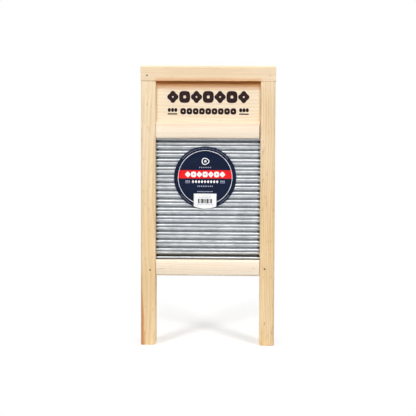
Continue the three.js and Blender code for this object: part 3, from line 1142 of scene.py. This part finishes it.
class MakeCrosspieces(bpy.types.Operator):
    """Make the soap ledge and the bottom rail, which are crowned bars with a tongue at each end"""

    bl_idname = "washboard.make_crosspieces"
    bl_label = "Make Crosspieces"

    def execute(self, context):
        board = context.scene.washboard
        wood = board.wood
        look = (wood.cross_pale, wood.cross_dark, "x")
        upper = wood_material("soap ledge pine", *look, ledge_painted_shade)
        lower = wood_material("bottom rail pine", *look)

        def groove(bottom, top, back):
            return block((-GROOVE_FLOOR, -GROOVE_HALF, bottom), (GROOVE_FLOOR, back, top))

        sheet_back = SHEET[1].y + CLEARANCE
        ledge_grooves = [
            groove(PANEL[0].z - CLEARANCE, LEDGE[1].z + MM, GROOVE_HALF),
            groove(LEDGE[0].z - MM, SHEET[1].z + CLEARANCE, sheet_back),
        ]
        rail_grooves = [groove(SHEET[0].z - CLEARANCE, BOTTOM_RAIL[1].z + MM, sheet_back)]
        self.make(board, "soap_ledge", LEDGE, wood.ledge_gap, ledge_grooves, upper)
        self.make(board, "bottom_rail", BOTTOM_RAIL, 0.0, rail_grooves, lower)
        return {"FINISHED"}

    def make(self, board, node, box, short, grooves, material):
        wood = board.wood
        low, high = box
        depth = LEFT_POST[1].y - LEFT_POST[0].y - 2 * wood.setback
        arrises = (wood.cross_lower_arris, wood.cross_upper_arris)
        outline = bar_outline(depth, high.z - low.z, *arrises, wood.crown)
        shoulder = POST_INNER - CLEARANCE
        piece = bar_along_x(node + "_wood", outline, -shoulder, shoulder - short, low.z)
        inset = 0.5 * MM
        tongue = block(
            (-TONGUE_END, TONGUE_FRONT, low.z + inset),
            (TONGUE_END, TONGUE_BACK, high.z - inset),
        )
        planed(piece, board, removed=grooves, added=[tongue])
        finished(piece, material, "pale_pine", node)


class MakeHeaderPanel(bpy.types.Operator):
    """Make the thin panel above the soap ledge"""

    bl_idname = "washboard.make_header_panel"
    bl_label = "Make Header Panel"

    def execute(self, context):
        board = context.scene.washboard
        wood = board.wood
        low, high = PANEL
        arris = 0.6 * MM
        outline = bar_outline(high.y - low.y, high.z - low.z, arris, arris)
        middle = (low.y + high.y) / 2
        piece = bar_along_x("header_panel_wood", outline, low.x, high.x, low.z, middle)
        planed(piece, board)
        look = (wood.panel_pale, wood.panel_dark, "x")
        material = wood_material("panel pine", *look, panel_corner_shade(wood))
        finished(piece, material, "panel_wood", "header_panel")
        return {"FINISHED"}


class MakeHeaderOrnament(bpy.types.Operator):
    """Print a frieze of rosettes and cushions on the header panel"""

    bl_idname = "washboard.make_header_ornament"
    bl_label = "Make Header Ornament"

    def execute(self, context):
        board = context.scene.washboard
        inks = board.printing
        rosette = {"lobes": 4, "depth": 0.22, "counter": 0.16, "sides": 64}
        cushion = {"form": 3.2, "counter": 0.24}
        small_cushion = {"form": 2.8, "counter": 0.2}
        rows = [
            {"count": 4, "pitch": 38.4, "size": (18.4, 19.8), "at": (0, 406.1), **rosette},
            {"count": 3, "pitch": 38.4, "size": (18, 19.4), "at": (0, 406.1), **cushion},
            {"count": 9, "pitch": 10.2, "size": (9.4, 10.2), "at": (0, 382.8), **small_cushion},
        ]
        for x in (-58.1, 58.1):
            rows.append({"count": 3, "pitch": 5.3, "size": (5.1, 6.6), "at": (x, 384.8)})
            rows.append({"size": (15.6, 2), "at": (x, 378.5), "form": BOX_LIKE})
        # The print is rooted in the panel and stands clear of it even where the panel bulges.
        root = 0.2 * MM
        origin = (0, TONGUE_FRONT + root, 0)
        film = inks.film + board.wood.wobble + root
        ink = ink_material(inks)
        finished(printed("header_ornament", rows, film, origin, ink), ink, "panel_wood")
        return {"FINISHED"}


class MakeRubbingSheet(bpy.types.Operator):
    """Make the ribbed zinc sheet"""

    bl_idname = "washboard.make_rubbing_sheet"
    bl_label = "Make Rubbing Sheet"

    def execute(self, context):
        sheet = context.scene.washboard.sheet
        low, high = SHEET
        swing = high.y - low.y - sheet.thickness
        # Of a wave that is dent times as high as the coarse one and twice as fast, the two together
        # reach 1 + dent below the middle and dent + 1 / (8 dent) above it.
        coarse = swing / (1 + 2 * sheet.dent + 1 / (8 * sheet.dent))
        crest = coarse * (sheet.dent + 1 / (8 * sheet.dent))
        middle = low.y + crest + sheet.thickness / 2
        values = {
            "Width": high.x - low.x,
            "Height": high.z - low.z,
            "Ribs": sheet.ribs,
            "Steps per Rib": 28,
            "Columns": 49,
            "Coarse": coarse,
            "Fine": coarse * sheet.dent,
            "Thickness": sheet.thickness,
            "Ripple": sheet.ripple,
            "Centre": Vector(((low.x + high.x) / 2, middle, (low.z + high.z) / 2)),
            "Material": zinc_material(sheet),
        }
        piece = new_object("ribbed_zinc_sheet", bpy.data.meshes.new("sheet"))
        given_values(piece, shared("Ribbed Sheet", build_ribbed_sheet), values)
        baked(piece)
        smoothed(piece, math.radians(60))
        finished(piece, None, "galvanised_sheet", "rubbing_sheet")
        return {"FINISHED"}


class MakeBackSlats(bpy.types.Operator):
    """Make the slats that hold the zinc sheet from behind"""

    bl_idname = "washboard.make_back_slats"
    bl_label = "Make Back Slats"

    def execute(self, context):
        board = context.scene.washboard
        wood = board.wood
        low, high = SLATS[0]
        centre = (low + high) / 2
        arris = 0.8 * MM
        outline = bar_outline(high.y - low.y, high.z - low.z, arris, arris)
        ends = (low.x - centre.x, high.x - centre.x)
        pattern = bar_along_x("slat", outline, *ends, low.z - centre.z)
        material = wood_material("slat pine", wood.panel_pale, wood.panel_dark, "x")
        middles = [(near + far) / 2 for near, far in SLATS]
        piece = copies("back_slats", pattern, middles, material)
        planed(piece, board)
        finished(piece, None, "panel_wood", *SLAT_NODES)
        return {"FINISHED"}


class MakeLabel(bpy.types.Operator):
    """Make the round paper label with its band, ornament and blank patch"""

    bl_idname = "washboard.make_label"
    bl_label = "Make Label"

    def execute(self, context):
        inks = context.scene.washboard.printing
        self.film = inks.film
        thickness = LABEL[1].y - LABEL[0].y
        edge = 0.06 * MM
        profile = [
            (0.0, thickness),
            (LABEL_RADIUS, thickness),
            (LABEL_RADIUS, edge),
            (LABEL_RADIUS - edge, 0.0),
            (0.0, 0.0),
        ]
        self.face = Vector((LABEL_CENTRE.x, LABEL[0].y, LABEL_CENTRE.z))
        disc = new_object("label_disc", mesh_from("label_disc", lathe(self.face, profile, 128)))
        finished(disc, paper_material("label blue", inks.navy), "label_paper", "round_label")

        grey = paper_material("label grey", inks.grey)
        white = paper_material("label white", inks.white)
        red = paper_material("label red", inks.red)
        bars = paper_material("label bars", inks.bars)
        self.mark("label_ring", 1, white, [
            {"size": (88.8, 88.8), "counter": 0.984, "sides": 160},
        ])
        self.window("label_band", 1, red, 43.5, (-50, -1.5), (50, 12.2))
        self.window("label_patch", 2, white, 50.6, (-18.4, -60), (18.4, -26.2))
        rosette = {"lobes": 4, "depth": 0.22, "counter": 0.16, "sides": 48}
        cushion = {"form": 3.2, "counter": 0.24}
        lozenge = {"form": 1.5, "counter": 0.2}
        self.mark("label_frieze", 2, white, [
            {"count": 4, "pitch": 18.8, "size": (8.8, 9.3), "at": (0, 5.2), **rosette},
            {"count": 3, "pitch": 18.8, "size": (8.4, 9.1), "at": (0, 5.2), **cushion},
        ])
        self.mark("label_marks", 1, white, [
            {"count": 9, "pitch": 4.95, "size": (3.7, 4.7), "at": (0, -6.7), **lozenge},
            {"size": (13.4, 12), "at": (0.3, 26.6), "lobes": 3, "depth": 0.12, "counter": 0.76,
             "sides": 60},
            {"size": (4.6, 4.6), "at": (0.3, 26.6), "lobes": 6, "depth": 0.35, "sides": 48},
        ])
        flank = 28.4
        self.mark("label_fine_marks", 1, grey, [
            {"count": 7, "pitch": 3, "size": (1.9, 2.6), "at": (0, 16.6), "form": LOZENGE},
            {"count": 9, "pitch": 2.9, "size": (1.9, 2.9), "at": (0, -14.1), "form": LOZENGE},
            {"count": 13, "pitch": 2, "size": (1.3, 1.5), "at": (0, -22.8)},
            *({"count": 3, "pitch": 2.7, "size": (2, 2.6), "at": (x, -5.9)} for x in (-flank, flank)),
            *({"size": (8, 0.8), "at": (x, -8.6), "form": BOX_LIKE} for x in (-flank, flank)),
        ])
        faint = tuple(0.5 * g + 0.5 * n for g, n in zip(inks.grey, inks.navy))
        arc = {"bend": 47.9, "pitch": 2.3, "size": (1.4, 1.9), "form": LOZENGE}
        self.mark("label_arc_marks", 1, paper_material("label faint grey", faint), [
            {"count": 37, **arc},
            {"count": 9, "turn": 2.4, **arc},
            {"count": 9, "turn": -2.4, **arc},
        ])
        stripes = (2, 0.8, 1.2, 2.2, 0.8, 1.6, 0.8, 2.4, 0.8, 1.2, 2)
        self.mark("label_bars", 3, bars, [
            {"size": (wide, 7.4), "at": (2.1 * (i - 5), -38.4), "form": BOX_LIKE}
            for i, wide in enumerate(stripes)
        ])
        self.mark("label_patch_marks", 3, grey, [
            {"count": 9, "pitch": 2.3, "size": (1.2, 1.3), "at": (0, -32)},
            {"count": 11, "pitch": 2.5, "size": (1.3, 1.5), "at": (0, -44.2)},
        ])
        return {"FINISHED"}

    def mark(self, name, layer, material, rows):
        """Prints marks on the label. Each layer lies on the one below."""
        piece = printed(name, rows, self.film * layer, self.face, material)
        finished(piece, material, "label_paper")

    def window(self, name, layer, material, radius, low, high):
        piece = disc_window(name, radius, low, high, self.film * layer, self.face)
        finished(piece, material, "label_paper")


class MakeBrads(bpy.types.Operator):
    """Drive a wire brad into each corner joint"""

    bl_idname = "washboard.make_brads"
    bl_label = "Make Brads"

    def execute(self, context):
        settings = context.scene.washboard.brads
        near, far = BRADS[0]
        profile = brad_profile(settings, far.y - near.y)
        pattern = new_object("brad", mesh_from("brad", lathe((0, 0, 0), profile)))
        smoothed(pattern)
        piece = copies("brads", pattern, BRAD_PLACES, brad_material(settings))
        finished(piece, None, "brad_wire", *BRAD_NODES)
        return {"FINISHED"}


# Softboxes: azimuth and elevation in degrees, distance and side in metres, power in watts.
BOARD_LIGHTS = {
    "key": (0, 44, 2.4, 1.7, 68),
    "fill left": (-40, 28, 2.6, 1.0, 2.5),
    "fill right": (40, 28, 2.6, 1.0, 2.5),
    "side left": (-108, 22, 2.4, 1.4, 22),
    "side right": (108, 22, 2.4, 1.4, 22),
    "back": (180, 34, 2.4, 1.4, 40),
}
FLOOR_LIGHTS = {
    "low left": (-24, 9.5, 3.0, 0.64, 120),
    "low right": (29.5, 9.5, 3.0, 0.64, 120),
}


def towards(azimuth, elevation):
    """The direction of these angles in radians. Azimuth 0 is the board's front, a quarter its right."""
    flat = math.cos(elevation)
    return Vector((math.sin(azimuth) * flat, -math.cos(azimuth) * flat, math.sin(elevation)))


class MakeStage(bpy.types.Operator):
    """Set up the camera, the pale floor and the soft studio light"""

    bl_idname = "washboard.make_stage"
    bl_label = "Make Stage"

    def execute(self, context):
        stage = context.scene.washboard.stage
        context.scene.view_settings.view_transform = "Standard"
        self.make_camera(context.scene, stage)
        floor = self.make_floor(stage)
        self.make_sky(context.scene)
        floor_only = bpy.data.collections.new("floor only")
        floor_only.objects.link(floor)
        all_but_floor = bpy.data.collections.new("all but the floor")
        all_but_floor.objects.link(floor)
        all_but_floor.collection_objects[0].light_linking.link_state = "EXCLUDE"
        for name, values in BOARD_LIGHTS.items():
            self.make_light(name, all_but_floor, Vector((0, 0, stage.aim)), *values)
        for name, values in FLOOR_LIGHTS.items():
            self.make_light(name, floor_only, Vector((0, 0, 0)), *values)
        return {"FINISHED"}

    def make_camera(self, scene, stage):
        data = bpy.data.cameras.new("camera")
        data.lens = stage.lens
        data.clip_end = 50
        camera = bpy.data.objects.new("camera", data)
        scene.collection.objects.link(camera)
        back = towards(stage.azimuth, stage.elevation)
        camera.location = Vector((0, 0, stage.aim)) + back * stage.distance
        facing = back.to_track_quat("Z", "Y").to_matrix() @ Matrix.Rotation(stage.roll, 3, "Z")
        camera.rotation_euler = facing.to_euler()
        scene.camera = camera

    def make_floor(self, stage):
        radius = stage.floor_radius

        def build(shape):
            bmesh.ops.create_circle(shape, cap_ends=True, segments=96, radius=radius)

        mesh = mesh_from("floor", build)
        if mesh.polygons[0].normal.z < 0:
            mesh.flip_normals()
        floor = new_object("floor", mesh)
        material, tree, place = new_material("floor paper")
        x, y, _ = tree.split(place)
        away = tree.vector("LENGTH", tree.joined(x, y, 0.0))
        path = tree.add("ShaderNodeLightPath").outputs
        # The floor glows, so that it is white in reflections too. Little of that reaches the board.
        bounce = tree.times_plus(path["Is Diffuse Ray"], -0.8, 0.9)
        seen = path["Is Camera Ray"]
        # Between and behind the feet the low lights cast shadows, so the glow is held back there. It
        # rises to the back, where those lights are weaker.
        level = tree.times_plus(y, 0.3, -0.49)
        near_glow = tree.times_plus(seen, level, bounce)
        far_glow = tree.times_plus(seen, 0.1, bounce)
        diffuse = tree.add("ShaderNodeBsdfDiffuse", {"Color": stage.floor}).outputs[0]
        near = tree.add("ShaderNodeEmission", {"Strength": near_glow}).outputs[0]
        far = tree.add("ShaderNodeEmission", {"Strength": far_glow}).outputs[0]
        lit = tree.add("ShaderNodeAddShader", {0: diffuse, 1: near}).outputs[0]
        beside = tree.ramp(tree.math("ABSOLUTE", x), POST_INNER, 0.13)
        share = tree.math("MAXIMUM", tree.ramp(away, 0.55, 0.9), beside)
        both = tree.add("ShaderNodeMixShader", {0: share, 1: lit, 2: far}).outputs[0]
        tree.add("ShaderNodeOutputMaterial", {"Surface": both})
        mesh.materials.append(material)
        return floor

    def make_sky(self, scene):
        """A white ground for the camera, and a softbox-like ceiling for everything else."""
        world = bpy.data.worlds.new("studio")
        world.use_nodes = True
        world.node_tree.nodes.clear()
        tree = Tree(world.node_tree)
        up = tree.split(tree.add("ShaderNodeTexCoord").outputs["Generated"])[2]
        level = tree.ramp(up, 0.1, 0.9, 0.06, 0.6)
        path = tree.add("ShaderNodeLightPath").outputs
        soft = tree.times_plus(path["Is Diffuse Ray"], -0.6, 1.0)
        strength = tree.math("MAXIMUM", path["Is Camera Ray"], tree.times(level, soft))
        ground = {"Color": (1, 1, 1), "Strength": strength}
        background = tree.add("ShaderNodeBackground", ground).outputs[0]
        tree.add("ShaderNodeOutputWorld", {"Surface": background})
        scene.world = world

    def make_light(self, name, lit, aim, azimuth, elevation, distance, side, power):
        """A square softbox at these angles round aim, which lights only what lit allows."""
        data = bpy.data.lights.new(name, "AREA")
        data.shape = "SQUARE"
        data.size = side
        data.energy = power
        light = bpy.data.objects.new(name, data)
        bpy.context.scene.collection.objects.link(light)
        light.light_linking.receiver_collection = lit
        back = towards(math.radians(azimuth), math.radians(elevation))
        light.location = aim + back * distance
        light.rotation_euler = back.to_track_quat("Z", "Y").to_euler()


class WashboardPanel(bpy.types.Panel):
    """Lists the washboard's pieces in the 3D view's sidebar"""

    bl_idname = "VIEW3D_PT_washboard"
    bl_label = "Washboard"
    bl_space_type = "VIEW_3D"
    bl_region_type = "UI"
    bl_category = "Washboard"

    def draw(self, context):
        for operator in OPERATORS:
            self.layout.operator(operator.bl_idname)
        for group in ("wood", "sheet", "printing", "brads", "stage"):
            settings = getattr(context.scene.washboard, group)
            box = self.layout.box()
            box.label(text=group.title())
            for name in settings.bl_rna.properties.keys():
                if name not in ("rna_type", "name"):
                    box.prop(settings, name)


SETTINGS = (
    WashboardWood,
    WashboardSheet,
    WashboardPrint,
    WashboardBrads,
    WashboardStage,
    WashboardSettings,
)
OPERATORS = (
    MakePosts,
    MakeTopRail,
    MakeCrosspieces,
    MakeHeaderPanel,
    MakeHeaderOrnament,
    MakeRubbingSheet,
    MakeBackSlats,
    MakeLabel,
    MakeBrads,
    MakeStage,
)


def register():
    for cls in (*SETTINGS, *OPERATORS, WashboardPanel):
        bpy.utils.register_class(cls)
    bpy.types.Scene.washboard = PointerProperty(type=WashboardSettings)


def unregister():
    del bpy.types.Scene.washboard
    for cls in reversed((*SETTINGS, *OPERATORS, WashboardPanel)):
        bpy.utils.unregister_class(cls)


def main():
    noise.seed_set(WOBBLE_SEED)
    register()
    for operator in OPERATORS:
        getattr(bpy.ops.washboard, operator.bl_idname.split(".")[1])()


if __name__ == "__main__":
    main()
